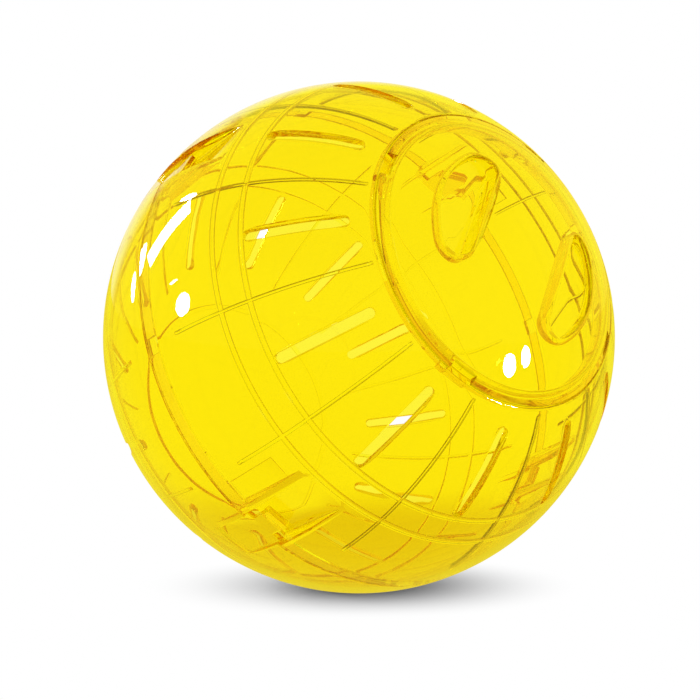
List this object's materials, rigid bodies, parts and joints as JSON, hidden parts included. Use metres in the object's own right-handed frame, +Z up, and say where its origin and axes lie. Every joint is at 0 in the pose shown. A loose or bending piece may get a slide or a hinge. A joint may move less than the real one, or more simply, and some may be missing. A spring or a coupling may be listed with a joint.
{
  "type": "hamster ball",
  "caption": "Clear round exercise ball for a small pet: slotted half shells that snap together round a seam, and a domed twist-off door with finger recesses.",
  "frame": {"origin": "centre of the ball", "axes": "+Z up from the floor the ball rests on; the door faces -Y and its axis rises 24.75 degrees; +X is to the right of a person facing the door"},
  "size_m": [0.188, 0.188, 0.188],
  "materials": {
    "clear_yellow": "clear tinted, polished"
  },
  "bodies": {
    "rear_half": {"rear_shell": "clear_yellow"},
    "front_half": {"front_shell": "clear_yellow"},
    "door": {"door": "clear_yellow"}
  },
  "joints": [
    {"name": "front_half_pull", "type": "slide", "parent": "rear_half", "child": "front_half", "axis": [0, -0.9081, 0.4187], "range_m": [0, 0.12]},
    {"name": "door_twist", "type": "hinge", "parent": "front_half", "child": "door", "pos_m": [0, 0, 0], "axis": [0, -0.9081, 0.4187], "range_deg": [0, 40]}
  ]
}
